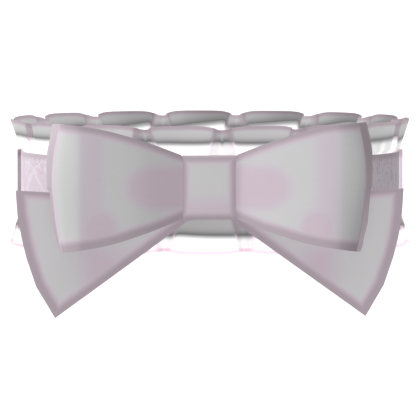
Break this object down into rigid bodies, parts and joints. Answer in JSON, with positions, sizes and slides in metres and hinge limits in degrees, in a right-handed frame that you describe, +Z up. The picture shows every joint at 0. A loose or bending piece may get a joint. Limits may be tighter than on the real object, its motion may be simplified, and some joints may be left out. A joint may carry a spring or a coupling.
{
  "type": "bow choker",
  "caption": "Choker of a lace band edged with pleated ruffles, closed by plain straps behind the neck, with a satin ribbon bow and two pointed tails on the front.",
  "frame": {"origin": "on the neck's axis at the band's mid height", "axes": "+Z up along the neck, -Y towards the bow, +X towards the bow's right loop as seen from the front"},
  "size_m": [0.118, 0.1302, 0.0561],
  "materials": {
    "crushed_lace": "crushed lace",
    "plain_satin": "satin",
    "pleated_cloth": "sheer and opaque stripes",
    "bow_satin": "satin"
  },
  "bodies": {
    "root": {"band_front": "crushed_lace", "strap_left": "plain_satin", "strap_right": "plain_satin", "back_clasp": "plain_satin", "upper_ruffle": "pleated_cloth", "lower_ruffle": "pleated_cloth", "bow_tail_left": "bow_satin", "bow_tail_right": "bow_satin", "bow_loop_left": "bow_satin", "bow_loop_right": "bow_satin", "bow_knot": "bow_satin"}
  },
  "joints": []
}
